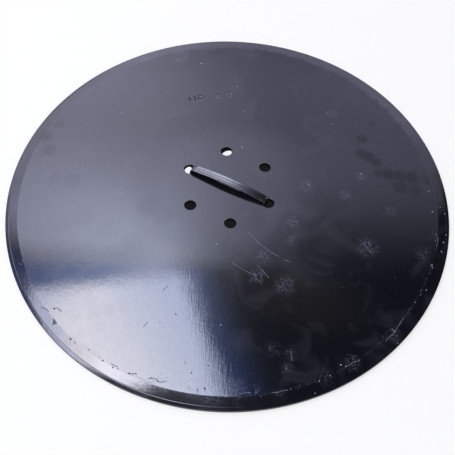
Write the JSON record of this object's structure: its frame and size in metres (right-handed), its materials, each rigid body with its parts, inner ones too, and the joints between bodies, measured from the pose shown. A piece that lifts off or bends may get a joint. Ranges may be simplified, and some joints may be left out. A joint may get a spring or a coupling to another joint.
{
  "type": "coulter disc",
  "caption": "Round, slightly dished coulter disc in black painted steel, with a shallow ground edge bevel, a ring of bolt holes and a flat cable tie through two of them.",
  "frame": {"origin": "centre of the circle on which the rim rests, on the disc's axis", "axes": "+Z along the disc's axis out of its raised side, +X towards the bolt hole that the far end of the tie passes through"},
  "size_m": [0.4099, 0.41, 0.0195],
  "materials": {
    "black_paint": "gloss",
    "black_nylon": "satin"
  },
  "bodies": {
    "root": {"disc": "black_paint", "cable_tie": "black_nylon"}
  },
  "joints": []
}
